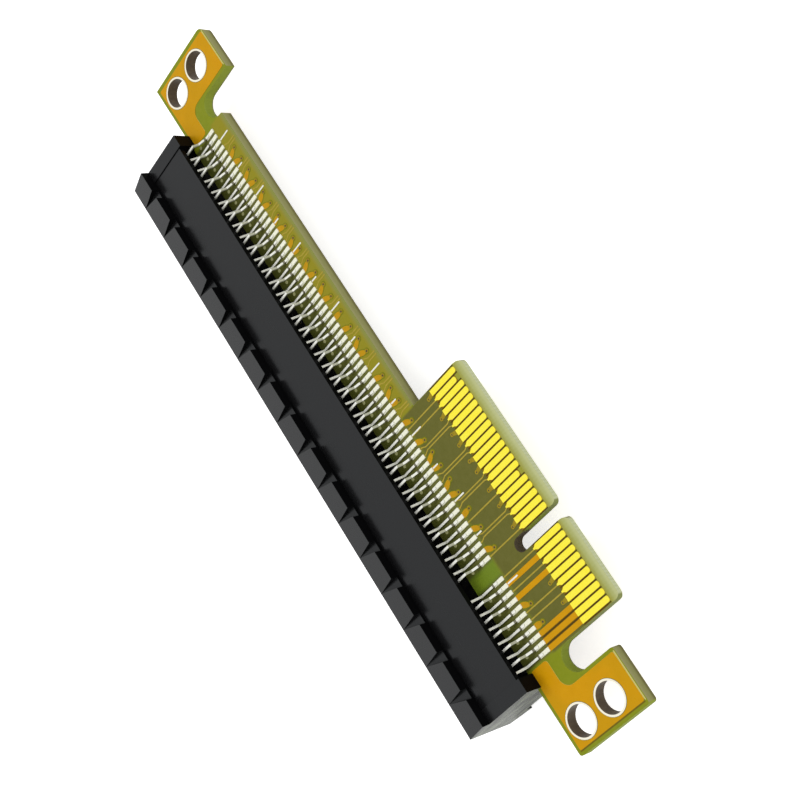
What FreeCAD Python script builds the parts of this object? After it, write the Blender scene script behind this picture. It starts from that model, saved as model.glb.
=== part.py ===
"""Riser card: an edge-card socket straddling the lower edge of a small circuit board.

Each sub-part is modelled in one working frame, then placed in the part's frame.
Working frame of the socket and its contacts: x along the row of contacts, y from the
socket's mouth towards the board, z out of the board's front face, mid-plane at z = 0.
Working frame of the board and what lies on it: the same, with y = 0 at the board's seat.
Part's frame: origin under the middle of the part, +Z out of the board's front face.
"""
import FreeCAD
import Part
import math
import os
import Sketcher

os.makedirs("parts", exist_ok=True)
doc = FreeCAD.newDocument("riser_card")

DIMENSIONS = [
    ("board_thickness", 1.6, "board, face to face"),
    ("board_height", 16.75, "seat in the socket to the finger edge"),
    ("strip_height", 7.45, "board above its seat beside the tongue"),
    ("tab_width", 7.5, "each end tab"),
    ("tab_height", 12.25, "each end tab above the seat"),
    ("relief_width", 3.75, "round-bottomed slot inside each tab"),
    ("relief_floor", 5.25, "bottom of the round slots above the seat"),
    ("tab_corner", 0.4, "radius of the right tab's corners"),
    ("shoulder_corner", 0.95, "radius of the left tab's upper outer corner"),
    ("strip_corner", 0.25, "radius at the strip's left end"),
    ("tongue_corner", 0.8, "radius of the tongue's and notch's finger-edge corners"),
    ("bevel_height", 1.15, "chamfer along the finger edge"),
    ("bevel_depth", 0.42, "chamfer into each face"),
    ("key_notch_width", 1.9, "notch in the tongue"),
    ("key_notch_depth", 8.25, "notch from the finger edge"),
    ("contact_pitch", 1.0, "contact to contact"),
    ("key_to_contact", 1.5, "key to the contact on each side of it"),
    ("short_bank_count", 11.0, "contacts on the short side of the key"),
    ("long_bank_count", 71.0, "socket contacts on the long side of the key"),
    ("finger_count", 21.0, "fingers on the long side of the key"),
    ("first_short_finger", 6.0, "its place in the long bank, front face"),
    ("second_short_finger", 20.0, "its place in the long bank, front face"),
    ("finger_margin", 0.65, "last finger's centre to the tongue's side"),
    ("finger_width", 0.76, "gold finger"),
    ("finger_length", 4.7, "gold finger"),
    ("finger_setback", 0.65, "how much shorter a presence finger is"),
    ("finger_corner", 0.2, "chamfer at a finger's outer end"),
    ("plating_thickness", 0.05, "fingers, pads and hole rings"),
    ("pad_width", 0.55, "solder pad"),
    ("pad_start", 2.85, "solder pad's lower end above the seat"),
    ("pad_end", 4.65, "solder pad's upper end above the seat"),
    ("hole_inset", 3.2, "tab's outer edge to a hole's centre"),
    ("hole_low", 2.9, "lower holes' centres above the seat"),
    ("hole_spacing", 5.2, "lower to upper hole"),
    ("hole_radius", 1.95, "inside the plating"),
    ("ring_radius", 2.21, "outside of the plated sleeve in a hole"),
    ("sleeve_clearance", 0.02, "sleeve to the drilled wall"),
    ("end_wall", 1.95, "card slot's end to the moulding's end"),
    ("socket_height", 10.4, "mouth to the rim of the base"),
    ("side_half", 3.5, "mid-plane to the moulding's side face"),
    ("post_length", 1.9, "thicker post at each end"),
    ("post_half", 3.65, "mid-plane to a post's face"),
    ("post_rise", 0.5, "posts above the rim of the base"),
    ("post_grip", 0.65, "board held in the posts' slots, below their tops"),
    ("rim_half", 3.95, "mid-plane to the band behind the lip blocks"),
    ("lip_depth", 3.6, "mouth to the foot of the lip"),
    ("ridge_depth", 3.5, "mouth to the lip's ridge"),
    ("ridge_half", 4.9, "mid-plane to the lip's ridge"),
    ("notch_count", 16.0, "notches along each lip"),
    ("notch_pitch", 5.353, "notch to notch"),
    ("notch_first", 3.4, "moulding's left end to the first notch"),
    ("notch_near", 0.15, "notch at the ridge, towards the left end"),
    ("notch_far", 1.2, "notch at the ridge, towards the right end"),
    ("slot_half", 1.0, "half of the card slot's width"),
    ("slot_depth", 8.6, "card slot from the mouth"),
    ("slot_margin", 0.85, "last contact's centre to the slot's end"),
    ("slot_lead_in", 0.35, "chamfer at the slot's mouth"),
    ("key_rib_width", 1.75, "rib across the slot"),
    ("trough_depth", 1.2, "recess that the tails leave by, below the rim"),
    ("trough_half", 2.75, "half of the recess's width"),
    ("trough_margin", 0.7, "last contact's centre to the recess's end"),
    ("board_clearance", 0.05, "each face of the board to the posts"),
    ("contact_width", 0.3, "contact, along the row"),
    ("contact_thickness", 0.2, "contact strip"),
    ("bend_shift", 0.13, "mitre of the strip at its bends"),
    ("cavity_side_clearance", 0.1, "contact to each side of its cavity"),
    ("cavity_back_clearance", 0.12, "contact to the back of its cavity"),
    ("cavity_start", 1.0, "mouth to the contact cavities"),
    ("tip_depth", 1.6, "mouth to the contact's tip"),
    ("tip_half", 1.45, "mid-plane to the contact's tip"),
    ("touch_depth", 3.4, "mouth to where the contact touches a card"),
    ("touch_half", 0.62, "mid-plane to where it touches a card"),
    ("root_depth", 7.6, "mouth to the straight root"),
    ("root_half", 2.25, "mid-plane to the root's inner face"),
    ("near_bend", -0.25, "bend of odd contacts above the board's seat"),
    ("near_landing", 0.45, "where odd contacts land above the seat"),
    ("far_bend", 1.35, "bend of even contacts above the seat"),
    ("far_knee", 1.75, "second bend of even contacts above the seat"),
    ("knee_half", 1.45, "mid-plane to the inner face at that bend"),
    ("far_landing", 3.05, "where even contacts land above the seat"),
    ("tail_end", 3.5, "end of the tails above the seat"),
]

sheet = doc.addObject("Spreadsheet::Sheet", "Sizes")
for row, (alias, number, meaning) in enumerate(DIMENSIONS, start=1):
    sheet.set("A%d" % row, alias)
    sheet.set("B%d" % row, str(number))
    sheet.set("C%d" % row, meaning)
    sheet.setAlias("B%d" % row, alias)
doc.recompute()


ALIASES = {alias for alias, number, meaning in DIMENSIONS}


def sized(expression):
    """Put the sheet's name before each alias of an expression."""
    return " ".join("Sizes." + word if word in ALIASES else word for word in expression.split())


def value(expression):
    return float(sheet.evalExpression(sized(expression)))


def bind(item, prop, expression):
    item.setExpression(prop, sized(expression))


# Places that several pieces share, all centred on the row of contacts.
SEAT = "( socket_height + post_rise - post_grip )"
TROUGH_FLOOR = "( socket_height - trough_depth )"
SOCKET_Y = "0 - ( " + SEAT + " + board_height ) / 2"
BOARD_Y = SEAT + " - ( " + SEAT + " + board_height ) / 2"
KEY_X = "( ( long_bank_count - short_bank_count ) * contact_pitch / 2 )"
ROW_END = ("( key_to_contact"
           " + ( ( long_bank_count + short_bank_count ) / 2 - 1 ) * contact_pitch )")
FIRST_SHORT = KEY_X + " + key_to_contact"
FIRST_LONG = KEY_X + " - key_to_contact"
TONGUE_RIGHT = "( " + ROW_END + " + finger_margin )"
TONGUE_LEFT = FIRST_LONG + " - ( finger_count - 1 ) * contact_pitch - finger_margin"
TAB_INNER = "( " + TONGUE_RIGHT + " + relief_width )"
HALF_BOARD = "( " + TAB_INNER + " + tab_width )"
HOLE_X = "( " + HALF_BOARD + " - hole_inset )"
HALF_SLOT = "( " + ROW_END + " + slot_margin )"
HALF_SOCKET = "( " + HALF_SLOT + " + end_wall )"
FINGER_TIP = "board_height - bevel_height"


def new_body(label, y_expression):
    """A body for one node, placed in the part's frame."""
    body = doc.addObject("PartDesign::Body", label)
    body.Label = label
    body.AllowCompound = True
    body.setExpression("Placement.Base.y", sized(y_expression))
    body.setExpression("Placement.Base.z", sized("ridge_half"))
    return body


def origin_feature(body, role):
    for feature in body.Origin.OriginFeatures:
        if feature.Role == role:
            return feature
    raise RuntimeError("no origin feature " + role)


def new_sketch(body, name, plane, **offsets):
    sketch = body.newObject("Sketcher::SketchObject", name)
    sketch.AttachmentSupport = (origin_feature(body, plane), [""])
    sketch.MapMode = "FlatFace"
    for axis, expression in offsets.items():
        bind(sketch, "AttachmentOffset.Base." + axis, expression)
    return sketch


def pin_point(sketch, geometry, position, across, upwards):
    """Hold one point of a sketch at two expressions."""
    for kind, axis, expression in (("DistanceX", -2, across), ("DistanceY", -1, upwards)):
        if expression == "0":
            sketch.addConstraint(Sketcher.Constraint("PointOnObject", geometry, position, axis))
            continue
        index = sketch.addConstraint(
            Sketcher.Constraint(kind, geometry, position, value(expression)))
        name = "%s_%d_%d" % (kind[-1].lower(), geometry, position)
        sketch.renameConstraint(index, name)
        bind(sketch, "Constraints." + name, expression)


def add_polygon(sketch, corners):
    points = [FreeCAD.Vector(value(across), value(upwards), 0) for across, upwards in corners]
    first = sketch.GeometryCount
    count = len(points)
    for i in range(count):
        sketch.addGeometry(Part.LineSegment(points[i], points[(i + 1) % count]), False)
    for i in range(count):
        after = first + (i + 1) % count
        sketch.addConstraint(Sketcher.Constraint("Coincident", first + i, 2, after, 1))
    for i, (across, upwards) in enumerate(corners):
        pin_point(sketch, first + i, 1, across, upwards)


def add_rectangle(sketch, left, right, low, high):
    add_polygon(sketch, [(left, low), (right, low), (right, high), (left, high)])


def add_circle(sketch, across, upwards, radius):
    centre = FreeCAD.Vector(value(across), value(upwards), 0)
    index = sketch.addGeometry(
        Part.Circle(centre, FreeCAD.Vector(0, 0, 1), value(radius)), False)
    pin_point(sketch, index, 3, across, upwards)
    number = sketch.addConstraint(Sketcher.Constraint("Radius", index, value(radius)))
    name = "radius_%d" % index
    sketch.renameConstraint(number, name)
    bind(sketch, "Constraints." + name, radius)


def add_round_slot(sketch, middle, width, floor, top):
    """A slot with a half-round bottom: two sides, a top and an arc."""
    half = width + " / 2"
    left = middle + " - " + half
    right = middle + " + " + half
    level = floor + " + " + half
    x_left, x_right, y_low, y_top = value(left), value(right), value(level), value(top)
    low_left = FreeCAD.Vector(x_left, y_low, 0)
    low_right = FreeCAD.Vector(x_right, y_low, 0)
    top_left = FreeCAD.Vector(x_left, y_top, 0)
    top_right = FreeCAD.Vector(x_right, y_top, 0)
    ring = Part.Circle(FreeCAD.Vector(value(middle), y_low, 0), FreeCAD.Vector(0, 0, 1),
                       value(half))
    side = sketch.addGeometry(Part.LineSegment(top_left, low_left), False)
    arc = sketch.addGeometry(Part.ArcOfCircle(ring, math.pi, 2 * math.pi), False)
    other = sketch.addGeometry(Part.LineSegment(low_right, top_right), False)
    lid = sketch.addGeometry(Part.LineSegment(top_right, top_left), False)
    for one, its_end, two, its_start in (
            (side, 2, arc, 1), (arc, 2, other, 1), (other, 2, lid, 1), (lid, 2, side, 1)):
        sketch.addConstraint(Sketcher.Constraint("Coincident", one, its_end, two, its_start))
    pin_point(sketch, side, 1, left, top)
    pin_point(sketch, side, 2, left, level)
    pin_point(sketch, arc, 3, middle, level)
    pin_point(sketch, lid, 1, right, top)
    index = sketch.addConstraint(Sketcher.Constraint("DistanceY", arc, 2, y_low))
    name = "arc_end_%d" % arc
    sketch.renameConstraint(index, name)
    bind(sketch, "Constraints." + name, level)


def add_pad(body, sketch, name, length, symmetric=False, backwards=False):
    pad = body.newObject("PartDesign::Pad", name)
    pad.Profile = sketch
    pad.SideType = "Symmetric" if symmetric else "One side"
    pad.Reversed = backwards
    bind(pad, "Length", length)
    doc.recompute()
    return pad


def add_pocket(body, sketch, name, length=None, symmetric=False, backwards=False):
    """Cut a sketch through all, or to a length, and make sure that it cuts."""
    before = body.Shape.Volume
    pocket = body.newObject("PartDesign::Pocket", name)
    pocket.Profile = sketch
    pocket.SideType = "Symmetric" if symmetric else "One side"
    pocket.Reversed = backwards
    if length is None:
        pocket.Type = "ThroughAll"
    else:
        bind(pocket, "Length", length)
    doc.recompute()
    if not body.Shape.Volume < before - 1e-6:
        raise RuntimeError(name + " cuts nothing")
    return pocket


def add_row(body, feature, name, count, pitch, leftwards=False):
    """Repeat a feature along x."""
    row = body.newObject("PartDesign::LinearPattern", name)
    row.Originals = [feature]
    row.Direction = (origin_feature(body, "X_Axis"), [""])
    row.Mode = "Spacing"
    row.Reversed = leftwards
    bind(row, "Offset", pitch)
    bind(row, "Occurrences", count)
    body.Tip = row
    doc.recompute()
    return row


def edges_where(feature, test):
    names = []
    for number, edge in enumerate(feature.Shape.Edges, start=1):
        ends = [vertex.Point for vertex in edge.Vertexes]
        if len(ends) == 2 and test(ends[0], ends[1]):
            names.append("Edge%d" % number)
    return names


def upright_edge_near(feature, x, y):
    """The edge along z that stands nearest to (x, y)."""
    best = None
    for number, edge in enumerate(feature.Shape.Edges, start=1):
        ends = [vertex.Point for vertex in edge.Vertexes]
        if len(ends) != 2 or math.hypot(ends[0].x - ends[1].x, ends[0].y - ends[1].y) > 1e-6:
            continue
        distance = math.hypot(ends[0].x - x, ends[0].y - y)
        if best is None or distance < best[0]:
            best = (distance, "Edge%d" % number)
    return best[1]


def add_fillet(body, feature, name, corners, radius):
    names = [upright_edge_near(feature, x, y) for x, y in corners]
    fillet = body.newObject("PartDesign::Fillet", name)
    fillet.Base = (feature, names)
    bind(fillet, "Radius", radius)
    doc.recompute()
    return fillet


# Circuit board: strip, tongue with the key notch, two tabs with two holes each.
board = new_body("circuit_board", BOARD_Y)
outline = new_sketch(board, "board_outline", "XY_Plane")
add_polygon(outline, [
    ("0 - " + HALF_BOARD, "0"),
    (HALF_BOARD, "0"),
    (HALF_BOARD, "tab_height"),
    (TAB_INNER, "tab_height"),
    (TAB_INNER, "strip_height"),
    (TONGUE_RIGHT, "strip_height"),
    (TONGUE_RIGHT, "board_height"),
    (TONGUE_LEFT, "board_height"),
    (TONGUE_LEFT, "strip_height"),
    ("0 - " + TAB_INNER, "strip_height"),
    ("0 - " + TAB_INNER, "tab_height"),
    ("0 - " + HALF_BOARD, "tab_height"),
])
blank = add_pad(board, outline, "board_blank", "board_thickness", symmetric=True)
reliefs = new_sketch(board, "relief_outlines", "XY_Plane")
for side in ("0 - ", ""):
    middle = side + "( " + TONGUE_RIGHT + " + relief_width / 2 )"
    add_round_slot(reliefs, middle, "relief_width", "relief_floor", "strip_height + 1")
relief_cut = add_pocket(board, reliefs, "reliefs", symmetric=True)
tab_corners = add_fillet(
    board, relief_cut, "tab_corners",
    [(value(HALF_BOARD), 0.0),
     (value(HALF_BOARD), value("tab_height")),
     (value(TAB_INNER), value("tab_height"))],
    "tab_corner")
shoulder = add_fillet(
    board, tab_corners, "shoulder_corners",
    [(-value(HALF_BOARD), value("tab_height"))],
    "shoulder_corner")
strip_end = add_fillet(
    board, shoulder, "strip_corners",
    [(-value(TONGUE_RIGHT), value("strip_height"))],
    "strip_corner")
add_fillet(
    board, strip_end, "tongue_corners",
    [(value(TONGUE_RIGHT), value("board_height")),
     (value(TONGUE_LEFT), value("board_height"))],
    "tongue_corner")
key_notch = new_sketch(board, "key_notch_outline", "XY_Plane")
add_round_slot(key_notch, KEY_X, "key_notch_width", "board_height - key_notch_depth",
               "board_height + 1")
notched = add_pocket(board, key_notch, "key_notch", symmetric=True)
add_fillet(
    board, notched, "notch_corners",
    [(value(KEY_X + " - key_notch_width / 2"), value("board_height")),
     (value(KEY_X + " + key_notch_width / 2"), value("board_height"))],
    "tongue_corner")
for face, sign in (("front", ""), ("back", "0 - ")):
    bevel = new_sketch(board, face + "_bevel_section", "YZ_Plane")
    add_polygon(bevel, [
        ("board_height - bevel_height", sign + "board_thickness / 2"),
        ("board_height", sign + "board_thickness / 2"),
        ("board_height", sign + "( board_thickness / 2 - bevel_depth )")])
    add_pocket(board, bevel, face + "_bevel", symmetric=True)
drilled = new_sketch(board, "drill_sketch", "XY_Plane")
for side in ("0 - ", ""):
    for level in ("hole_low", "hole_low + hole_spacing"):
        add_circle(drilled, side + HOLE_X, level, "ring_radius + sleeve_clearance")
add_pocket(board, drilled, "drilled_holes", symmetric=True)

# Plated holes: a sleeve standing a little proud of both faces, four of them.
plated = new_body("plated_holes", BOARD_Y)
for row_name, level in (("lower", "hole_low"), ("upper", "hole_low + hole_spacing")):
    section = new_sketch(plated, row_name + "_plating_section", "XZ_Plane",
                         x="0 - " + HOLE_X, z="0 - ( " + level + " )")
    add_polygon(section, [
        ("hole_radius", "0 - ( board_thickness / 2 + plating_thickness )"),
        ("ring_radius", "0 - ( board_thickness / 2 + plating_thickness )"),
        ("ring_radius", "board_thickness / 2 + plating_thickness"),
        ("hole_radius", "board_thickness / 2 + plating_thickness")])
    sleeve = plated.newObject("PartDesign::Revolution", row_name + "_plating")
    sleeve.Profile = section
    sleeve.ReferenceAxis = (section, ["V_Axis"])
    sleeve.Angle = 360
    doc.recompute()
    add_row(plated, sleeve, row_name + "_pair", "2", "2 * " + HOLE_X)

# Gold fingers: full-length ones, with the shorter presence fingers among them.
def add_finger(body, name, face, centre, tip):
    """One finger, square at its root and chamfered at its outer end."""
    if face == "front":
        sketch = new_sketch(body, name + "_outline", "XY_Plane", z="board_thickness / 2")
    else:
        sketch = new_sketch(body, name + "_outline", "XY_Plane", z="0 - board_thickness / 2")
    left = centre + " - finger_width / 2"
    right = centre + " + finger_width / 2"
    root = FINGER_TIP + " - finger_length"
    add_polygon(sketch, [
        (left, root),
        (right, root),
        (right, tip + " - finger_corner"),
        (right + " - finger_corner", tip),
        (left + " + finger_corner", tip),
        (left, tip + " - finger_corner")])
    return add_pad(body, sketch, name, "plating_thickness", backwards=(face == "back"))


def long_bank_x(place):
    """Centre of the finger at this place of the long bank, counted from the key."""
    return FIRST_LONG + " - ( " + place + " - 1 ) * contact_pitch"


fingers = new_body("edge_fingers_front", BOARD_Y)
feature = add_finger(fingers, "short_bank", "front", FIRST_SHORT, FINGER_TIP)
add_row(fingers, feature, "short_bank_row", "short_bank_count", "contact_pitch")
feature = add_finger(fingers, "first_run", "front", long_bank_x("1"), FINGER_TIP)
add_row(fingers, feature, "first_run_row", "first_short_finger - 1", "contact_pitch",
        leftwards=True)
feature = add_finger(fingers, "second_run", "front",
                     long_bank_x("( first_short_finger + 1 )"), FINGER_TIP)
add_row(fingers, feature, "second_run_row", "second_short_finger - first_short_finger - 1",
        "contact_pitch", leftwards=True)
feature = add_finger(fingers, "third_run", "front",
                     long_bank_x("( second_short_finger + 1 )"), FINGER_TIP)
add_row(fingers, feature, "third_run_row", "finger_count - second_short_finger",
        "contact_pitch", leftwards=True)
add_finger(fingers, "first_presence", "front", long_bank_x("first_short_finger"),
           FINGER_TIP + " - finger_setback")
add_finger(fingers, "second_presence", "front", long_bank_x("second_short_finger"),
           FINGER_TIP + " - finger_setback")

fingers = new_body("edge_fingers_back", BOARD_Y)
feature = add_finger(fingers, "short_bank", "back", FIRST_SHORT, FINGER_TIP)
add_row(fingers, feature, "short_bank_row", "short_bank_count - 1", "contact_pitch")
feature = add_finger(fingers, "long_bank", "back", FIRST_LONG, FINGER_TIP)
add_row(fingers, feature, "long_bank_row", "finger_count", "contact_pitch", leftwards=True)
add_finger(fingers, "end_presence", "back", ROW_END,
           FINGER_TIP + " - finger_setback")

# Solder pads: one under each contact tail, on both faces.
for face, level in (("front", "board_thickness / 2"), ("back", "0 - board_thickness / 2")):
    pads = new_body("solder_pads_" + face, BOARD_Y)
    for bank, centre, count, leftwards in (
            ("short_bank", FIRST_SHORT, "short_bank_count", False),
            ("long_bank", FIRST_LONG, "long_bank_count", True)):
        sketch = new_sketch(pads, bank + "_outline", "XY_Plane", z=level)
        add_rectangle(sketch, centre + " - pad_width / 2", centre + " + pad_width / 2",
                      "pad_start", "pad_end")
        feature = add_pad(pads, sketch, bank, "plating_thickness", backwards=(face == "back"))
        add_row(pads, feature, bank + "_row", count, "contact_pitch", leftwards=leftwards)

# Socket moulding: body, end posts, notched lip, card slot, contact cavities, tail recess.
socket = new_body("slot_housing", SOCKET_Y)
section = new_sketch(socket, "moulding_section", "YZ_Plane")
add_polygon(section, [
    ("0", "0 - rim_half"),
    ("lip_depth", "0 - rim_half"),
    ("lip_depth", "0 - side_half"),
    ("socket_height", "0 - side_half"),
    ("socket_height", "side_half"),
    ("lip_depth", "side_half"),
    ("lip_depth", "rim_half"),
    ("0", "rim_half")])
add_pad(socket, section, "moulding", "2 * " + HALF_SOCKET, symmetric=True)
posts = new_sketch(socket, "post_outlines", "XY_Plane")
for side in ("0 - ", ""):
    inner = side + "( " + HALF_SOCKET + " - post_length )"
    outer = side + HALF_SOCKET
    add_rectangle(posts, inner, outer, "lip_depth", "socket_height + post_rise")
add_pad(socket, posts, "end_posts", "2 * post_half", symmetric=True)
for face, sign in (("front", ""), ("back", "0 - ")):
    wedge = new_sketch(socket, face + "_lip_section", "YZ_Plane")
    add_polygon(wedge, [
        ("0", sign + "rim_half"),
        ("ridge_depth", sign + "ridge_half"),
        ("lip_depth", sign + "rim_half")])
    add_pad(socket, wedge, face + "_lip", "2 * " + HALF_SOCKET, symmetric=True)
    apex = "notch_first - " + HALF_SOCKET
    notch = new_sketch(socket, face + "_notch_outline", "XY_Plane", z=sign + "rim_half")
    add_polygon(notch, [
        (apex, "0"),
        (apex + " + notch_far * ( lip_depth + 1 ) / ridge_depth", "lip_depth + 1"),
        (apex + " - notch_near * ( lip_depth + 1 ) / ridge_depth", "lip_depth + 1")])
    cut = add_pocket(socket, notch, face + "_notch", "ridge_half - rim_half + 1",
                     backwards=(face == "front"))
    add_row(socket, cut, face + "_notches", "notch_count", "notch_pitch")

slot = new_sketch(socket, "slot_outline", "XZ_Plane")
add_rectangle(slot, "0 - " + HALF_SLOT, KEY_X + " - key_rib_width / 2",
              "0 - slot_half", "slot_half")
add_rectangle(slot, KEY_X + " + key_rib_width / 2", HALF_SLOT,
              "0 - slot_half", "slot_half")
card_slot = add_pocket(socket, slot, "card_slot", "slot_depth")


def is_slot_mouth(start, end):
    at_mouth = abs(start.y) < 1e-6 and abs(end.y) < 1e-6
    inside = max(abs(start.z), abs(end.z)) < value("slot_half") + 1e-4
    return at_mouth and inside


lead_in = socket.newObject("PartDesign::Chamfer", "slot_mouth")
lead_in.Base = (card_slot, edges_where(card_slot, is_slot_mouth))
bind(lead_in, "Size", "slot_lead_in")
doc.recompute()

trough = new_sketch(socket, "trough_outline", "XZ_Plane", z="0 - " + TROUGH_FLOOR)
add_rectangle(trough, "0 - " + ROW_END + " - trough_margin",
              ROW_END + " + trough_margin", "0 - trough_half", "trough_half")
add_pocket(socket, trough, "tail_trough")
straddle = new_sketch(socket, "board_slot_outline", "XZ_Plane", z="0 - " + SEAT)
add_rectangle(straddle, "0 - " + HALF_SOCKET + " - 1", HALF_SOCKET + " + 1",
              "0 - ( board_thickness / 2 + board_clearance )",
              "board_thickness / 2 + board_clearance")
add_pocket(socket, straddle, "board_slot")
for bank, centre, count, leftwards in (
        ("short_bank", FIRST_SHORT, "short_bank_count", False),
        ("long_bank", FIRST_LONG, "long_bank_count", True)):
    cavity = new_sketch(socket, bank + "_cavity_outline", "XZ_Plane",
                        z="0 - " + TROUGH_FLOOR)
    left = centre + " - contact_width / 2 - cavity_side_clearance"
    right = centre + " + contact_width / 2 + cavity_side_clearance"
    back = "( root_half + contact_thickness + cavity_back_clearance )"
    add_rectangle(cavity, left, right, "slot_half", back)
    add_rectangle(cavity, left, right, "0 - " + back, "0 - slot_half")
    cut = add_pocket(socket, cavity, bank + "_cavity", TROUGH_FLOOR + " - cavity_start",
                     backwards=True)
    add_row(socket, cut, bank + "_cavities", count, "contact_pitch", leftwards=leftwards)


# Contacts: a bowed beam in the slot, a straight root, and a tail bent to its pad.
LYING = "board_thickness / 2 + plating_thickness"
NEAR_TAIL = [("near_bend", "root_half"), ("near_landing", LYING), ("tail_end", LYING)]
FAR_TAIL = [("far_bend", "root_half"), ("far_knee", "knee_half"), ("far_landing", LYING),
            ("tail_end", LYING)]


def add_contact_bank(body, name, face, first, count, leftwards, tail):
    sign = "" if face == "front" else "0 - "
    chain = [
        ("tip_depth", "tip_half"),
        ("touch_depth", "touch_half"),
        ("root_depth", "root_half")]
    chain += [(SEAT + " + " + rise, height) for rise, height in tail]
    inner = [(depth, sign + "( " + height + " )") for depth, height in chain]
    outer = [(depth + " + bend_shift", sign + "( " + height + " + contact_thickness )")
             for depth, height in chain[1:]]
    sketch = new_sketch(body, name + "_strip", "YZ_Plane", z=first)
    add_polygon(sketch, inner + outer[::-1])
    strip = add_pad(body, sketch, name, "contact_width", symmetric=True)
    add_row(body, strip, name + "_row", count, "2 * contact_pitch", leftwards=leftwards)


# Odd contacts stand at the end of the short bank; even ones start the long bank.
for face in ("front", "back"):
    odd = new_body("contacts_%s_odd" % face, SOCKET_Y)
    add_contact_bank(odd, "short_bank", face, FIRST_SHORT,
                     "ceil( short_bank_count / 2 )", False, NEAR_TAIL)
    add_contact_bank(odd, "long_bank", face, FIRST_LONG + " - contact_pitch",
                     "floor( long_bank_count / 2 )", True, NEAR_TAIL)
    even = new_body("contacts_%s_even" % face, SOCKET_Y)
    add_contact_bank(even, "short_bank", face, FIRST_SHORT + " + contact_pitch",
                     "floor( short_bank_count / 2 )", False, FAR_TAIL)
    add_contact_bank(even, "long_bank", face, FIRST_LONG,
                     "ceil( long_bank_count / 2 )", True, FAR_TAIL)

doc.recompute()
for item in doc.Objects:
    if "Invalid" in item.State or "Error" in item.State:
        raise RuntimeError("failed: " + item.Label)

for body in doc.Objects:
    if body.TypeId != "PartDesign::Body":
        continue
    shape = body.Shape
    if shape.isNull() or not shape.isValid():
        raise RuntimeError("bad shape: " + body.Label)
    shape.exportStep("parts/%s.step" % body.Label)
    print("%-22s solids %3d  volume %9.3f" % (body.Label, len(shape.Solids), shape.Volume))
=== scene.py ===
"""Looks of the riser card: materials, copper, vias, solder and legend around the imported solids."""
import math

import bmesh
import bpy
from mathutils import Matrix, Vector


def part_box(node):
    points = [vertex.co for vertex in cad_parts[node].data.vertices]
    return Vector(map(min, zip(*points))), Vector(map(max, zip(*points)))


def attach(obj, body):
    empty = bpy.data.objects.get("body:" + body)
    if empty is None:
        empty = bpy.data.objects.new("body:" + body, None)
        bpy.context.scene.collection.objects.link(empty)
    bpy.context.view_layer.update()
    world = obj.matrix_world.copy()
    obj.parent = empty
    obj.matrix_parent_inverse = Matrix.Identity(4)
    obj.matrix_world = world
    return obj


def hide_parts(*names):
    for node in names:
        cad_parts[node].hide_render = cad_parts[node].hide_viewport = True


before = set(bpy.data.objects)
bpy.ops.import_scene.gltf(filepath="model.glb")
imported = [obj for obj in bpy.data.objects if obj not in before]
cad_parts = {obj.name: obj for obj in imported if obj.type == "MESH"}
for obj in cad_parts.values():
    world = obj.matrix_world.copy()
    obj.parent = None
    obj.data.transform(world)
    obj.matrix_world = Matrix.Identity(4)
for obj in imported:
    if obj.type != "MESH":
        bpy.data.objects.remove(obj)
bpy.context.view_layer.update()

MM = 0.001
FACES = ("front", "back")

# Places, in millimetres
board_low, board_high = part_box("circuit_board")
housing_low, housing_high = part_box("slot_housing")
DATUM = board_low.y / MM + 0.25          # the line that heights are counted from
HALF_BOARD = board_high.x / MM
FRONT = board_high.z / MM                # the board's two faces
BACK = board_low.z / MM
KEY_X = 30.0                             # middle of the key notch
STRIP = (-42.0, 7.5)                     # ends of the low part of the board
TONGUE = (8.0, 42.0)                     # ends of the part with the fingers
TONGUE_BARE = 15.3                       # height where the mask ends before the bevel
RELIEF = (42.1, 45.95)                   # the cut between a tab and the board
PAD_HIGH = 4.4
FINGER_ROOT = 10.4
FINGER_TIP = 15.35
POUR_INNER = 42.2                        # the copper on a tab: an outline with one step
POUR_NECK = 46.35
POUR_OUTER = 52.8
POUR_LOW = 0.2
POUR_STEP = 3.15
POUR_HIGH = 11.7
RING = 2.21                              # outside of a plated hole
HOLE_X = HALF_BOARD - 3.2
HOLE_HEIGHTS = (2.65, 7.85)

# The row of contacts
SHORT_BANK = 11                          # contacts on the short side of the key
LAST_FINGER = 32
LAST_CONTACT = 82


def contact_x(number):
    """Centre of a contact, counted from the end of the short bank; the key takes two places."""
    return KEY_X + (12.5 if number <= SHORT_BANK else 10.5) - number


# Node helpers
def tone(red, green, blue):
    """A colour read as 0 to 255 on a screen, made linear."""
    def linear(level):
        level /= 255
        return level / 12.92 if level <= 0.04045 else ((level + 0.055) / 1.055) ** 2.4
    return (linear(red), linear(green), linear(blue), 1.0)


class Graph:
    """Short calls for the nodes of one tree."""

    def __init__(self, tree):
        self.tree = tree

    def add(self, kind, settings=None, **sockets):
        node = self.tree.nodes.new(kind)
        for name, setting in (settings or {}).items():
            setattr(node, name, setting)
        for name, source in sockets.items():
            self.feed(node.inputs[name.replace("_", " ")], source)
        return node

    def feed(self, socket, source):
        """Link a socket to another one, or give it a plain value."""
        if isinstance(source, bpy.types.NodeSocket):
            self.tree.links.new(source, socket)
        else:
            socket.default_value = source

    def maths(self, operation, first, second=0.0, third=0.0):
        node = self.add("ShaderNodeMath", {"operation": operation})
        for socket, source in zip(node.inputs, (first, second, third)):
            self.feed(socket, source)
        return node.outputs[0]

    def product(self, first, *others):
        for other in others:
            first = self.maths("MULTIPLY", first, other)
        return first


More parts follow.
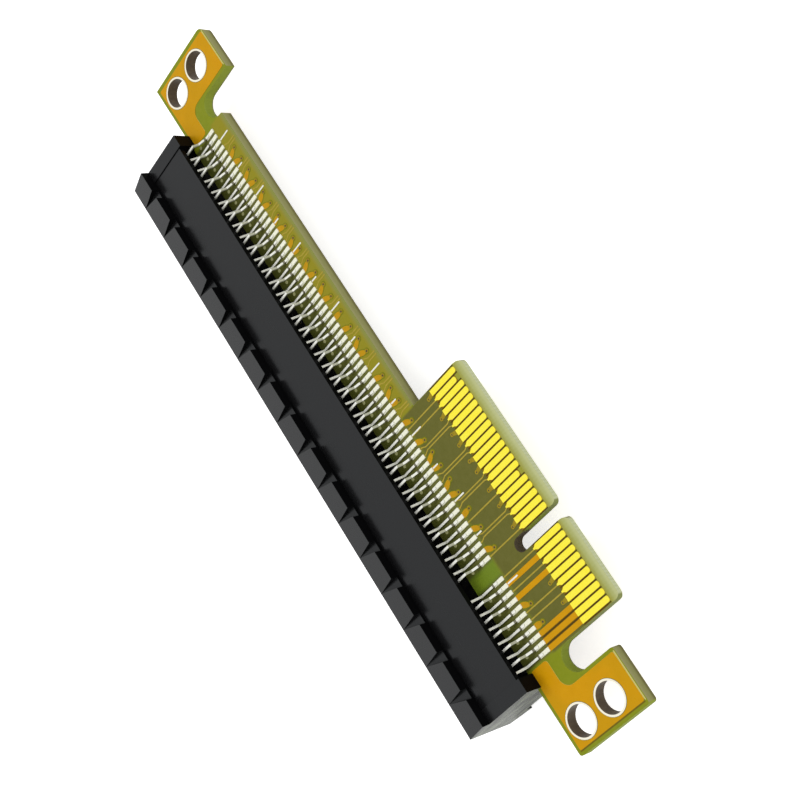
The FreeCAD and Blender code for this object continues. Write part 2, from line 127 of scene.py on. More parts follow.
class Finish(Graph):
    """A material on Object coordinates, with calls for its pattern and its surface."""

    def __init__(self, name):
        self.material = bpy.data.materials.new(name)
        self.material.use_nodes = True
        super().__init__(self.material.node_tree)
        self.surface = self.tree.nodes["Principled BSDF"]
        coordinates = self.add("ShaderNodeTexCoord")
        self.place = coordinates.outputs["Object"]
        split = self.add("ShaderNodeSeparateXYZ", Vector=self.place)
        self.x, y, self.z = [self.maths("DIVIDE", axis, MM) for axis in split.outputs]
        self.height = self.maths("SUBTRACT", y, DATUM)
        facing = self.add("ShaderNodeSeparateXYZ", Vector=coordinates.outputs["Normal"])
        self.nx, self.ny, nz = facing.outputs
        self.sideways = self.maths("ABSOLUTE", self.nx)
        self.flatness = self.maths("ABSOLUTE", nz)

    def set(self, **sockets):
        for name, source in sockets.items():
            self.feed(self.surface.inputs[name.replace("_", " ")], source)

    def noise(self, size, detail=3.0, stretch=(1, 1, 1)):
        """Noise whose features are about this many millimetres across."""
        spread = self.add("ShaderNodeMapping", Vector=self.place, Scale=stretch)
        return self.add("ShaderNodeTexNoise", Vector=spread.outputs[0], Scale=1 / (size * MM),
                        Detail=detail, Roughness=0.55).outputs[0]

    def bands(self, direction, scale, distortion, **sockets):
        """Wavy bands across one direction, as the yarns and plies of a laminate."""
        return self.add("ShaderNodeTexWave", {"bands_direction": direction}, Vector=self.place,
                        Scale=scale, Distortion=distortion, Detail=2.0, **sockets).outputs[1]

    def span(self, source, start, end, low=0.0, high=1.0):
        """Turn start..end of a value smoothly into low..high."""
        node = self.add("ShaderNodeMapRange", {"interpolation_type": "SMOOTHSTEP"})
        for socket, number in zip(node.inputs, (source, start, end, low, high)):
            self.feed(socket, number)
        return node.outputs[0]

    def window(self, source, low, high, soft):
        """1 between two values and 0 beyond their soft edges."""
        rise = self.span(source, low - soft, low)
        return self.product(rise, self.span(source, high, high + soft, 1.0, 0.0))

    def outside(self, source, low, high, soft):
        return self.maths("SUBTRACT", 1.0, self.window(source, low, high, soft))

    def mix(self, factor, first, second):
        node = self.add("ShaderNodeMix", {"data_type": "RGBA"})
        for socket, source in zip((node.inputs[0], node.inputs[6], node.inputs[7]),
                                  (factor, first, second)):
            self.feed(socket, source)
        return node.outputs[2]

    def rough(self, grain, low, high):
        """Roughness that follows a noise, most of whose values lie from 0.3 to 0.7."""
        self.set(Roughness=self.span(grain, 0.3, 0.7, low, high))

    def bump(self, height, depth, strength=0.5):
        """Relief of this many millimetres."""
        node = self.add("ShaderNodeBump", Height=height, Distance=depth * MM, Strength=strength)
        self.set(Normal=node.outputs[0])


# Materials
def mask_colour(f):
    """Solder mask: darker over the tongue's inner plane, with painted shade under the tails and
    painted light along the tab pours.
    """
    x, height = f.x, f.height
    mottle = f.noise(0.8, 4)
    mask = f.mix(mottle, tone(118, 130, 14), tone(138, 144, 34))
    mask = f.mix(f.span(f.noise(5.0, 2), 0.35, 0.65, 0.0, 0.5), mask, tone(126, 136, 20))
    tongue = f.window(x, *TONGUE, 0.35)
    plane = f.product(tongue, f.window(height, 5.0, FINGER_ROOT, 0.9))
    mask = f.mix(plane, mask, f.mix(mottle, tone(92, 92, 32), tone(106, 104, 48)))

    # the seams between fingers, at whole millimetres, and between the wide traces
    fingers = f.product(tongue, f.window(height, FINGER_ROOT + 0.2, TONGUE_BARE, 0.25))
    wide = f.product(f.window(x, 39.2, 41.8, 0.05),
                     f.window(height, PAD_HIGH, FINGER_ROOT + 0.3, 0.1))
    within = f.maths("FRACT", f.maths("ADD", x, 100.5))
    off_seam = f.maths("ABSOLUTE", f.maths("SUBTRACT", within, 0.5))
    beside = f.mix(f.span(height, 14.7, 14.85), tone(128, 98, 12), tone(150, 150, 52))
    seam = f.mix(f.span(off_seam, 0.03, 0.15), tone(70, 54, 8), beside)
    mask = f.mix(f.maths("MAXIMUM", fingers, wide), mask, seam)

    # under the tails: painted shade, darkest by the housing, with a greener patch where the key
    # leaves a gap
    low = f.window(height, -1.0, 4.2, 0.5)
    row = f.product(f.window(x, -41.3, 41.7, 0.5), f.outside(x, KEY_X - 0.6, KEY_X + 0.6, 0.5))
    shade = f.mix(f.span(height, 0.6, 3.2), tone(72, 74, 34), tone(98, 98, 50))
    mask = f.mix(f.product(low, row, 0.9), mask, shade)
    between = f.product(f.window(x, KEY_X - 0.8, KEY_X + 0.8, 0.6),
                        f.window(height, -1.0, 4.2, 0.6))
    mask = f.mix(f.product(between, 0.8), mask, tone(104, 128, 34))

    # the strip beside the pads, and its upper edge with no copper under it
    strip = f.product(f.window(x, *STRIP, 0.6), f.window(height, 4.6, 6.6, 0.5))
    mask = f.mix(f.product(strip, 0.8), mask, tone(146, 134, 30))
    rim = f.product(f.span(height, 6.15, 7.1), f.window(x, *STRIP, 0.3))
    mask = f.mix(f.product(rim, 0.6), mask, tone(136, 138, 84))

    # painted highlight just above the top edge of each tab's pour, and painted shadow along the
    # right pour's outer edge
    painted_pour_glint = f.product(f.window(f.maths("ABSOLUTE", x), POUR_NECK + 0.05, POUR_OUTER - 0.05, 0.1),
                     f.window(height, POUR_HIGH + 0.04, POUR_HIGH + 0.16, 0.04))
    mask = f.mix(f.product(painted_pour_glint, 0.8), mask, tone(214, 202, 128))
    painted_pour_shadow = f.product(f.window(x, POUR_OUTER + 0.04, POUR_OUTER + 0.16, 0.05),
                       f.window(height, POUR_LOW, POUR_HIGH - 0.1, 0.1))
    return f.mix(f.product(painted_pour_shadow, 0.8), mask, tone(104, 78, 14))


def bare_colour(f, yarn):
    """Glass laminate on the bevel: a cloudy resin, greener below and paler towards the edge."""
    bare = f.mix(f.noise(1.6, 4), tone(152, 156, 80), tone(176, 180, 112))
    bare = f.mix(f.product(yarn, 0.15), bare, tone(196, 198, 150))
    bare = f.mix(f.span(f.height, 15.7, 16.5, 0.0, 0.6), bare, tone(196, 200, 154))
    return f.mix(f.span(f.height, TONGUE_BARE, 15.9, 0.75, 0.0), bare, tone(150, 146, 52))


def edge_colour(f, yarn):
    """Cut edges: pale under the front face, dark towards the back, a milled notch browner."""
    x, height, depth = f.x, f.height, f.z
    chips = f.noise(0.5, 4, (1, 1, 3))
    ply = f.bands("Z", 1500.0, 0.6, Detail_Scale=3.0)
    edge = f.mix(chips, tone(132, 132, 76), tone(158, 156, 104))
    edge = f.mix(f.product(ply, 0.25), edge, tone(118, 116, 60))
    edge = f.mix(f.span(depth, FRONT - 0.75, FRONT - 0.15, 0.0, 0.6), edge, tone(160, 156, 108))
    edge = f.mix(f.span(depth, BACK + 0.1, BACK + 0.8, 0.8, 0.0), edge, tone(96, 90, 46))

    # edges that face +X, and those of the relief cuts, are greener, and duller on the tongue
    green = f.mix(chips, tone(134, 150, 46), tone(152, 162, 66))
    green = f.mix(f.span(depth, BACK + 0.02, BACK + 0.3, 0.8, 0.0), green, tone(122, 122, 92))
    wall = f.product(f.window(x, TONGUE[1] - 0.6, TONGUE[1] + 0.4, 0.1),
                     f.span(height, 7.5, 9.0, 0.0, 0.85))
    wall = f.maths("MAXIMUM", wall, f.span(height, 13.0, 15.0, 0.0, 0.85))
    green = f.mix(wall, green, f.mix(chips, tone(122, 130, 74), tone(148, 154, 100)))
    relief = f.product(f.window(f.maths("ABSOLUTE", x), *RELIEF, 0.02),
                       f.window(height, 4.5, 7.3, 0.3))
    edge = f.mix(f.maths("MAXIMUM", relief, f.span(f.nx, 0.25, 0.75)), edge, green)

    notch = f.product(f.window(x, KEY_X - 1.1, KEY_X + 1.1, 0.1), f.window(height, 8.0, 10.2, 0.8))
    edge = f.mix(notch, edge, f.mix(chips, tone(78, 68, 56), tone(104, 94, 74)))
    tip = f.product(f.span(height, 16.3, 16.45), f.span(f.ny, 0.5, 0.9))
    return f.mix(tip, edge, f.mix(yarn, tone(192, 198, 152), tone(210, 214, 176)))


def make_laminate():
    """Olive solder mask on the faces, bare glass laminate on the bevel, cut edges at the sides."""
    f = Finish("laminate")
    warp = f.bands("X", 700.0, 1.2)
    weft = f.bands("Y", 700.0, 1.2)
    yarn = f.product(f.maths("ADD", warp, weft), 0.5)
    flat = f.span(f.flatness, 0.97, 0.995)
    upright = f.span(f.flatness, 0.2, 0.4, 1.0, 0.0)
    colour = f.mix(flat, bare_colour(f, yarn), mask_colour(f))
    colour = f.mix(upright, colour, edge_colour(f, yarn))
    smoother = f.maths("MULTIPLY_ADD", flat, -0.25, 0.55)
    f.set(Base_Color=colour, IOR=1.5, Specular_IOR_Level=0.12)
    f.set(Roughness=f.maths("MULTIPLY_ADD", f.noise(0.3), 0.15, smoother))
    f.bump(f.maths("ADD", f.product(yarn, 0.6), f.noise(0.35)), 0.012, 0.6)
    return f.material


def make_masked_copper():
    """Copper seen through the translucent mask: deep yellow, with painted light on its cut sides."""
    f = Finish("masked_copper")
    face = f.mix(f.noise(1.2, 4), tone(198, 141, 4), tone(210, 154, 12))
    face = f.mix(f.span(f.noise(6.0, 2), 0.4, 0.62, 0.0, 0.45), face, tone(188, 144, 10))
    sides = f.span(f.flatness, 0.5, 0.97, 1.0, 0.0)
    # painted light on the sides: a pale highlight where they face -X or ±Y, painted shade where they
    # face +X
    rim = f.mix(f.span(f.nx, 0.0, 0.5), tone(222, 202, 124), tone(124, 84, 12))
    f.set(Base_Color=f.mix(sides, face, rim), IOR=1.5, Specular_IOR_Level=0.08)
    f.rough(f.noise(0.3), 0.26, 0.42)
    f.bump(f.noise(0.3), 0.008)
    return f.material


def make_under_mask(name, size, dark, light, specular=0.12):
    """Small copper that shows through the mask, duller than a pour."""
    f = Finish(name)
    f.set(Base_Color=f.mix(f.noise(size), dark, light), IOR=1.5, Specular_IOR_Level=specular)
    f.rough(f.noise(0.3), 0.3, 0.45)
    f.bump(f.noise(0.3), 0.006)
    return f.material


def make_gold():
    """Gold plating with a fine grain along the fingers."""
    f = Finish("gold_plating")
    grain = f.noise(0.12, 5, (1, 0.35, 1))
    colour = f.mix(grain, tone(246, 224, 30), tone(255, 250, 92))
    colour = f.mix(f.span(f.noise(1.4), 0.4, 0.65, 0.0, 0.4), colour, tone(252, 234, 44))
    sides = f.span(f.flatness, 0.3, 0.9, 1.0, 0.0)
    f.set(Base_Color=f.mix(sides, colour, tone(214, 160, 20)))
    f.set(Metallic=0.12, Specular_IOR_Level=0.2)
    f.rough(f.noise(0.2, 4), 0.4, 0.55)
    f.bump(grain, 0.006)
    return f.material


def make_tin():
    """Bright tinned copper; in the holes it is painted dark brown as shade."""
    f = Finish("tin_plating")
    grain = f.noise(0.1, 4)
    rings = f.mix(grain, tone(236, 230, 208), tone(254, 250, 232))
    # painted shade: the hole walls are dark brown
    wall = f.mix(f.noise(0.4, 4, (1, 1, 0.4)), tone(70, 56, 40), tone(104, 88, 64))
    painted_hole_shade = f.span(f.flatness, 0.3, 0.7, 1.0, 0.0)
    f.set(Base_Color=f.mix(painted_hole_shade, rings, wall), Metallic=0.1, Specular_IOR_Level=0.3)
    f.rough(f.noise(0.25, 4), 0.32, 0.5)
    f.bump(grain, 0.01, 0.6)
    return f.material


def make_contact_metal():
    """Tinned tails with painted shade on slopes towards +Y, on the flanks and at the heels; gold
    where a card is gripped in the slot.
    """
    f = Finish("contact_metal")
    streak = f.noise(0.12, 4, (1, 0.2, 1))
    tin = f.mix(streak, tone(236, 236, 226), tone(254, 254, 246))
    # painted shade on slopes that face +Y
    painted_slope_shade = f.product(f.span(f.ny, 0.3, 0.8), f.span(f.height, 0.1, 0.5, 0.1, 0.75))
    tin = f.mix(painted_slope_shade, tin, tone(158, 160, 128))
    # painted shade on the flanks
    tin = f.mix(f.span(f.sideways, 0.5, 0.9, 0.0, 0.8), tin, tone(112, 112, 88))
    # painted shade in a band at each heel, where the tail meets the solder
    painted_heel_shade = f.window(f.height, 2.5, 2.76, 0.06)
    tin = f.mix(f.product(painted_heel_shade, 0.9), tin, tone(92, 88, 62))
    gold = f.mix(streak, tone(214, 170, 62), tone(244, 208, 100))
    in_slot = f.span(f.height, -4.2, -3.6, 1.0, 0.0)
    f.set(Base_Color=f.mix(in_slot, tin, gold), Metallic=0.12)
    f.rough(f.noise(0.2, 4), 0.3, 0.45)
    f.bump(streak, 0.008)
    return f.material


def make_solder():
    """Bright solder, slightly grainy."""
    f = Finish("solder")
    grain = f.noise(0.15, 4)
    f.set(Base_Color=f.mix(grain, tone(232, 232, 208), tone(252, 252, 234)), Metallic=0.12)
    f.rough(grain, 0.34, 0.52)
    f.bump(grain, 0.02, 0.6)
    return f.material


def make_housing():
    """Black moulding: fine spark-eroded texture, faint flow marks, painted shade on faces towards +Y
    and on the notch walls, pale streaks painted on the end faces as glints.
    """
    f = Finish("housing_plastic")
    fine = f.noise(0.14, 5)
    flow = f.noise(3.0, 3, (0.25, 1, 1))
    glint_streak_noise = f.noise(1.1, 4, (1, 0.3, 1))
    at_ends = f.outside(f.x, housing_low.x / MM + 0.2, housing_high.x / MM - 0.2, 0.1)
    # painted shade: the notch walls and the faces towards +Y are darker and lose most of their
    # specular
    painted_notch_shade = f.product(f.span(f.sideways, 0.3, 0.6), f.maths("SUBTRACT", 1.0, at_ends))
    painted_shade_faces = f.maths("MAXIMUM", f.span(f.ny, 0.4, 0.8), painted_notch_shade)
    ends = f.product(f.span(f.sideways, 0.8, 0.98), at_ends)
    colour = f.mix(fine, tone(12, 12, 13), tone(20, 20, 21))
    colour = f.mix(painted_shade_faces, colour, f.mix(fine, tone(8, 8, 9), tone(13, 13, 14)))
    # pale streaks painted on the end faces as glints
    painted_end_glints = f.product(ends, f.span(glint_streak_noise, 0.38, 0.66, 0.2, 0.9))
    f.set(Base_Color=f.mix(painted_end_glints, colour, tone(122, 128, 110)), IOR=1.5)
    f.set(Specular_IOR_Level=f.product(f.span(painted_shade_faces, 0.0, 1.0, 0.34, 0.03),
                                       f.span(ends, 0.0, 1.0, 1.0, 0.3)))
    f.set(Specular_Tint=(0.93, 0.97, 1.0, 1))
    f.rough(flow, 0.22, 0.28)
    f.bump(fine, 0.012)
    return f.material


def make_legend():
    """White printing ink, speckled at its edges."""
    f = Finish("legend_ink")
    speck = f.noise(0.1, 4)
    f.set(Base_Color=f.mix(speck, tone(226, 226, 214), tone(248, 248, 240)), Roughness=0.6)
    f.bump(speck, 0.01)
    return f.material


def make_dull(name, size, dark, light, roughness):
    """A small dull spot of one finish."""
    f = Finish(name)
    f.set(Base_Color=f.mix(f.noise(size), dark, light), Roughness=roughness)
    return f.material


LAMINATE = make_laminate()
MASKED_COPPER = make_masked_copper()
DROP = make_under_mask("masked_drop", 0.5, tone(178, 132, 10), tone(198, 152, 20), 0.1)
MOAT = make_under_mask("masked_moat", 0.4, tone(104, 110, 10), tone(126, 130, 22))
LAND = make_under_mask("masked_land", 0.4, tone(138, 120, 20), tone(164, 140, 34))
TRACE = make_under_mask("masked_trace", 0.5, tone(150, 134, 40), tone(182, 162, 66))
GOLD = make_gold()
TIN = make_tin()
CONTACT_METAL = make_contact_metal()
SOLDER = make_solder()
HOUSING = make_housing()
LEGEND = make_legend()
DULL_LAND = make_dull("dull_land", 0.3, tone(146, 148, 96), tone(172, 172, 124), 0.4)
DRILL_DARK = make_dull("drill_shadow", 0.1, tone(52, 42, 20), tone(84, 66, 28), 0.6)


def dress(node, material):
    """Give a CAD node its finish."""
    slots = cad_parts[node].material_slots
    if not slots:
        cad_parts[node].data.materials.append(material)
    for slot in slots:
        slot.material = material


dress("circuit_board", LAMINATE)
dress("plated_holes", TIN)
dress("slot_housing", HOUSING)
for face in FACES:
    dress("edge_fingers_" + face, GOLD)
    dress("solder_pads_" + face, SOLDER)
    for bank in ("odd", "even"):
        dress("contacts_%s_%s" % (face, bank), CONTACT_METAL)


# Mesh helpers
def only(kind, items):
    """The vertices, edges or faces among what an operator returns."""
    return [item for item in items if isinstance(item, kind)]


class Sheet:
    """Thin pieces that lie on one face of the board, gathered in one mesh."""

    def __init__(self, face):
        self.bm = bmesh.new()
        self.level = FRONT if face == "front" else BACK
        self.up = 1.0 if face == "front" else -1.0

    def point(self, x, height):
        return Vector((x, DATUM + height, self.level)) * MM

    def raise_faces(self, faces, lift):
        """Give flat faces a thickness, away from the board."""
        grown = bmesh.ops.extrude_face_region(self.bm, geom=faces)["geom"]
        bmesh.ops.translate(self.bm, verts=only(bmesh.types.BMVert, grown),
                            vec=(0, 0, self.up * lift * MM))
        return only(bmesh.types.BMFace, grown)

    def ribbon(self, stations, lift):
        """A strip that runs away from the socket; each station is x, height, half width."""
        x, height, half = stations[0]
        left = self.bm.verts.new(self.point(x - half, height))
        right = self.bm.verts.new(self.point(x + half, height))
        edge = self.bm.edges.new((left, right))
        faces = []
        for x, height, half in stations[1:]:
            grown = bmesh.ops.extrude_edge_only(self.bm, edges=[edge])["geom"]
            edge = only(bmesh.types.BMEdge, grown)[0]
            faces += only(bmesh.types.BMFace, grown)
            ends = sorted(edge.verts, key=lambda vertex: vertex.co.x)
            ends[0].co = self.point(x - half, height)
            ends[1].co = self.point(x + half, height)
        return self.raise_faces(faces, lift)

    def plate(self, corners, rounding, holes, lift):
        """A flat plate: each corner has its radius, each hole its x, height and radius."""
        before = set(self.bm.faces)
        verts = [self.bm.verts.new(self.point(x, height)) for x, height in corners]
        self.bm.faces.new(verts)
        for vertex, radius in zip(verts, rounding):
            bmesh.ops.bevel(self.bm, geom=[vertex], offset=radius * MM, segments=7,
                            profile=0.5, affect="VERTICES", material=-1)
        face = next(f for f in self.bm.faces if f not in before)
        edges = list(face.edges)
        bmesh.ops.delete(self.bm, geom=[face], context="FACES_ONLY")
        for x, height, radius in holes:
            made = bmesh.ops.create_circle(self.bm, segments=40, radius=radius * MM,
                                           matrix=Matrix.Translation(self.point(x, height)))
            edges += {e for vertex in made["verts"] for e in vertex.link_edges}
        filled = bmesh.ops.triangle_fill(self.bm, use_beauty=True, edges=edges,
                                         normal=(0, 0, self.up))["geom"]
        top = set(self.raise_faces(only(bmesh.types.BMFace, filled), lift))
        rims = [e for f in top for e in f.edges
                if sum(other in top for other in e.link_faces) == 1]
        bmesh.ops.bevel(self.bm, geom=rims, offset=0.03 * MM, segments=2, profile=0.5,
                        affect="EDGES", material=-1)

    def disc(self, x, height, radius, lift, segments):
        made = bmesh.ops.create_circle(self.bm, cap_ends=True, segments=segments,
                                       radius=radius * MM,
                                       matrix=Matrix.Translation(self.point(x, height)))
        return self.raise_faces([made["verts"][0].link_faces[0]], lift)

    def via(self, x, height, radius):
        """A via's land with its filled hole sunk in the middle."""
        lift = 0.045
        top = self.disc(x, height, radius, lift, 16)
        bmesh.ops.inset_region(self.bm, faces=top, thickness=radius * 0.55 * MM)
        bmesh.ops.translate(self.bm, verts=[v for f in top for v in f.verts],
                            vec=(0, 0, -self.up * lift * 0.6 * MM))
        for face in top:
            face.material_index = 1

    def finish(self, name, slot, *materials):
        bmesh.ops.recalc_face_normals(self.bm, faces=self.bm.faces[:])
        mesh = bpy.data.meshes.new(name)
        self.bm.to_mesh(mesh)
        self.bm.free()
        for material in materials:
            mesh.materials.append(material)
        piece = bpy.data.objects.new(name, mesh)
        bpy.context.scene.collection.objects.link(piece)
        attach(piece, "root")
        return piece


# What the contacts carry
POWER = (1, 2, 3, 8, 10)
SINGLE_TRACES = (5, 6, 9, 11, 12, 17, 30, 31)
PAIRS = (14, 19, 23, 27, 33, 37, 41, 45, 50, 54, 58, 62, 66, 70, 74, 78)
SHORT_FINGERS = {"front": (17, 31), "back": (1,)}
# Ground contacts, and how far the via of each stands to the side of its pad
GROUND_LEAN = {4: 0.1, 7: 0.55, 13: 0.55, 16: 0.55, 18: -0.15, 21: 0.45, 22: -0.55, 25: 0.4,
               26: -0.6, 29: 0.55, 32: 0.5, 35: 0.4, 36: -0.6, 39: 0.45, 43: 0.5, 44: -0.5,
               47: 0.5, 49: 0.05, 52: 0.5, 53: -0.5, 56: 0.5, 57: -0.5, 60: 0.4, 61: -0.4,
               64: 0.5, 65: -0.4, 68: 0.5, 69: -0.5, 72: 0.5, 73: -0.5, 76: 0.5, 77: -0.5}
LAP = 0.1                                # how far copper runs under a pad or a finger
JOIN = 0.05                              # how far a trace runs under a finger
FINGER_HALF = 0.38                       # half widths
WIDE_HALF = 0.33
TRACE_HALF = 0.09
PAIR_HALF = 0.085
VIA_HEIGHT = 5.75
VIA_RADIUS = 0.31
MOAT_WIDTH = 0.11
# Rise over the finger's root and half width, where a narrow trace joins it
DRAWN_IN = ((-0.05, 0.1), (0.2, 0.16), (0.5, 0.36))
# Distance from the finger's tip and half width
ROUNDED_TIP = ((0.32, FINGER_HALF), (0.15, 0.34), (0.04, 0.24), (0.0, 0.12))
# Share of the lean, height and half width of a drop of copper
DROP_SHAPE = ((0.0, PAD_HIGH - LAP, 0.28), (0.1, 4.5, 0.37), (0.35, 4.9, 0.41),
              (0.65, 5.3, 0.34), (0.85, 5.55, 0.2))


def build_fingers(face):
    """Gold fingers with rounded tips, drawn in at the root where a narrow trace joins."""
    sheet = Sheet(face)
    for number in range(1, LAST_FINGER + 1):
        x = contact_x(number)
        tip = FINGER_TIP - (0.65 if number in SHORT_FINGERS[face] else 0)
        square = number in POWER or number in GROUND_LEAN
        root = ((0.0, FINGER_HALF),) if square else DRAWN_IN
        stations = [(x, FINGER_ROOT + rise, half) for rise, half in root]
        stations.append((x, FINGER_ROOT + 0.6, FINGER_HALF))
        stations += [(x, tip - back, half) for back, half in ROUNDED_TIP]
        sheet.ribbon(stations, 0.05)
    piece = sheet.finish("gold_fingers_" + face, "gold_plating", GOLD)
    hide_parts("edge_fingers_" + face)


def build_copper(face):
    """Wide traces under the mask, and the pours on the two tabs."""
    sheet = Sheet(face)
    for number in POWER:
        x = contact_x(number)
        sheet.ribbon([(x, PAD_HIGH - LAP, WIDE_HALF), (x, FINGER_ROOT + LAP, WIDE_HALF + 0.01)],
                     0.03)
    outline = [(POUR_INNER, POUR_LOW), (POUR_OUTER, POUR_LOW), (POUR_OUTER, POUR_HIGH),
               (POUR_NECK, POUR_HIGH), (POUR_NECK, POUR_STEP), (POUR_INNER, POUR_STEP)]
    rounding = [0.35, 0.2, 0.3, 0.3, 1.5, 0.5]
    for side in (-1, 1):
        corners = [(side * x, height) for x, height in outline]
        holes = [(side * HOLE_X, height, RING + 0.05) for height in HOLE_HEIGHTS]
        sheet.plate(corners, rounding, holes, 0.035)
    sheet.finish("masked_copper_" + face, "laminate", MASKED_COPPER)


def build_drops(face):
    """A drop of copper from each ground pad to its via, inside a deep green outline."""
    layers = (("moats_", MOAT_WIDTH, 0.015, MOAT), ("drops_", 0.0, 0.03, DROP))
    for name, grow, lift, material in layers:
        sheet = Sheet(face)
        for number, lean in GROUND_LEAN.items():
            x = contact_x(number)
            stations = [(x + lean * share, height, half + grow)
                        for share, height, half in DROP_SHAPE]
            end_x, end_height, end_half = stations.pop()
            stations.append((end_x, end_height + grow, end_half))
            sheet.ribbon(stations, lift)
            if grow:
                sheet.disc(x + lean, VIA_HEIGHT, VIA_RADIUS + grow, lift + 0.002, 24)
        sheet.finish(name + face, "laminate", material)


def build_vias(face):
    """Vias at the ends of the drops, and those that hang from a ground finger's root."""
    sheet = Sheet(face)
    for number, lean in GROUND_LEAN.items():
        x = contact_x(number)
        sheet.via(x + lean, VIA_HEIGHT, VIA_RADIUS)
        if number <= LAST_FINGER:
            shift = 0.3 if lean > 0.2 else -0.3 if lean < -0.2 else 0.0
            sheet.ribbon([(x + shift, 9.7, 0.24), (x + shift * 0.3, FINGER_ROOT + JOIN, 0.34)],
                         0.03)
            sheet.via(x + shift, 9.65, 0.28)
    sheet.finish("vias_" + face, "laminate", LAND, DRILL_DARK)


def build_test_lands(face):
    """A small round land in the shade between each pair of crossing tails."""
    sheet = Sheet(face)
    for number in range(2, LAST_CONTACT + 1, 2):
        sheet.disc(contact_x(number) + 0.02, 0.95, 0.24, 0.02, 12)
    sheet.finish("test_lands_" + face, "laminate", DULL_LAND)


def build_traces(face):
    """Narrow traces: in pairs that close up above the pads, or single and straight."""
    sheet = Sheet(face)
    top = FINGER_ROOT + JOIN
    for first in PAIRS:
        middle = (contact_x(first) + contact_x(first + 1)) / 2
        for number, side in ((first, 1), (first + 1, -1)):
            x = contact_x(number)
            run = middle + side * 0.22
            stations = [(x, PAD_HIGH - LAP, TRACE_HALF), (x, 4.75, TRACE_HALF),
                        (run, 5.35, PAIR_HALF)]
            if first < LAST_FINGER:
                stations += [(run, top - 0.5, PAIR_HALF), (x - side * 0.06, top, TRACE_HALF)]
            else:
                stations.append((run, 6.8, PAIR_HALF))
            sheet.ribbon(stations, 0.025)
    for number in SINGLE_TRACES:
        x = contact_x(number) + 0.05
        sheet.ribbon([(x, PAD_HIGH - LAP, TRACE_HALF), (x, top, TRACE_HALF)], 0.025)
    sheet.finish("masked_traces_" + face, "laminate", TRACE)


def build_legend(face):
    """A tick beside every fifth pad and a longer one beside every tenth."""
    sheet = Sheet(face)
    for number in range(10, LAST_CONTACT, 5):
        x = contact_x(number) - 0.05
        top = 6.4 if number % 10 == 0 else 5.5
        sheet.ribbon([(x, PAD_HIGH + 0.12, 0.1), (x, top - 0.06, 0.1), (x, top, 0.05)], 0.045)
    sheet.finish("legend_ticks_" + face, "laminate", LEGEND)


def build_solder(face):
    """Solder over each pad and the end of its tail, no two blocks quite alike."""
    sheet = Sheet(face)
    for number in range(1, LAST_CONTACT + 1):
        x = contact_x(number)
        wobble = 0.02 * math.sin(number * 2.3)
        low = 2.76 + 0.03 * math.sin(number * 5.1)
        top = sheet.ribbon([(x + wobble, low, 0.2), (x + wobble, low + 0.1, 0.25),
                            (x, 3.5, 0.265), (x, PAD_HIGH - 0.1, 0.285),
                            (x, PAD_HIGH + 0.04, 0.24)], 0.17)
        rim = {edge for part in top for edge in part.edges}
        bmesh.ops.bevel(sheet.bm, geom=list(rim), offset=0.07 * MM, segments=2, profile=0.5,
                        affect="EDGES", material=-1)
    sheet.finish("solder_" + face, "tin_plating", SOLDER)


for face in FACES:
    build_fingers(face)
    build_copper(face)
    build_drops(face)
    build_vias(face)
    build_test_lands(face)
    build_traces(face)
    build_legend(face)
    build_solder(face)


# Floor, light and camera
WHITE = (1, 1, 1, 1)
LIGHT_LEVEL = 0.78                       # the world as light; seen or mirrored it is 1
FLOOR_GLOW = 0.7                         # lifts the floor to white where the camera sees it
MIRRORED_GLOW = 0.2


def seen_directly(graph, path):
    """1 for rays that show a background as it is."""
    return graph.maths("MAXIMUM", path["Is Camera Ray"], path["Is Transmission Ray"])


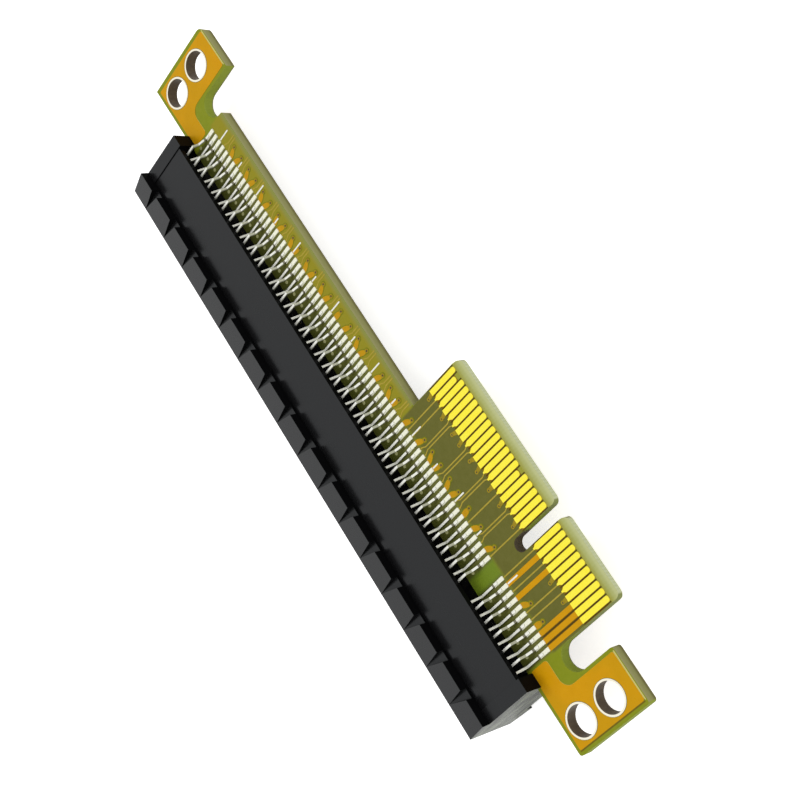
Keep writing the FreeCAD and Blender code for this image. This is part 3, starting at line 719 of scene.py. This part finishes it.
def add_floor():
    mesh = bpy.data.meshes.new("floor")
    bm = bmesh.new()
    bmesh.ops.create_grid(bm, x_segments=1, y_segments=1, size=3.0)
    bm.to_mesh(mesh)
    bm.free()
    floor = bpy.data.objects.new("floor", mesh)
    bpy.context.scene.collection.objects.link(floor)
    f = Finish("floor_white")
    path = f.add("ShaderNodeLightPath").outputs
    glow = f.product(seen_directly(f, path), FLOOR_GLOW)
    glow = f.maths("MULTIPLY_ADD", path["Is Glossy Ray"], MIRRORED_GLOW, glow)
    f.set(Base_Color=(0.8, 0.8, 0.8, 1), Roughness=0.9, Specular_IOR_Level=0.0)
    f.set(Emission_Color=WHITE, Emission_Strength=glow)
    mesh.materials.append(f.material)


def add_world():
    world = bpy.data.worlds.new("studio")
    world.use_nodes = True
    graph = Graph(world.node_tree)
    path = graph.add("ShaderNodeLightPath").outputs
    seen = graph.maths("MAXIMUM", seen_directly(graph, path), path["Is Glossy Ray"])
    level = graph.add("ShaderNodeMapRange", Value=seen, To_Min=LIGHT_LEVEL, To_Max=1.0)
    background = world.node_tree.nodes["Background"]
    graph.feed(background.inputs["Color"], WHITE)
    graph.feed(background.inputs["Strength"], level.outputs[0])
    bpy.context.scene.world = world


def add_sun(name, towards, strength, spread):
    """A lamp that shines from this direction, without a glint."""
    data = bpy.data.lights.new(name, "SUN")
    data.energy = strength
    data.angle = math.radians(spread)
    lamp = bpy.data.objects.new(name, data)
    lamp.rotation_euler = Vector(towards).to_track_quat("Z", "Y").to_euler()
    lamp.visible_glossy = False
    bpy.context.scene.collection.objects.link(lamp)


def add_camera():
    """The photo's view: its axes and its place, in metres."""
    data = bpy.data.cameras.new("photo_view")
    data.sensor_width = 36
    data.lens = 70.70
    data.clip_start = 0.005
    data.clip_end = 20
    right = Vector((0.51048557, 0.55533909, -0.65650817))
    down = Vector((0.78394588, -0.61427645, 0.08996282))
    ahead = Vector((-0.35331763, -0.5605916, -0.74893505))
    place = Vector((0.074347, 0.111425, 0.150642))
    camera = bpy.data.objects.new("photo_view", data)
    turn = Matrix((right, -down, -ahead)).transposed().to_4x4()
    camera.matrix_world = Matrix.Translation(place) @ turn
    bpy.context.scene.collection.objects.link(camera)
    bpy.context.scene.camera = camera


add_floor()
add_world()
add_sun("key_light", (-0.6, -0.5, 1.4), 0.75, 20.0)
add_sun("fill_light", (1.0, 1.0, 0.55), 0.4, 40.0)
add_camera()
bpy.context.scene.view_settings.view_transform = "Standard"
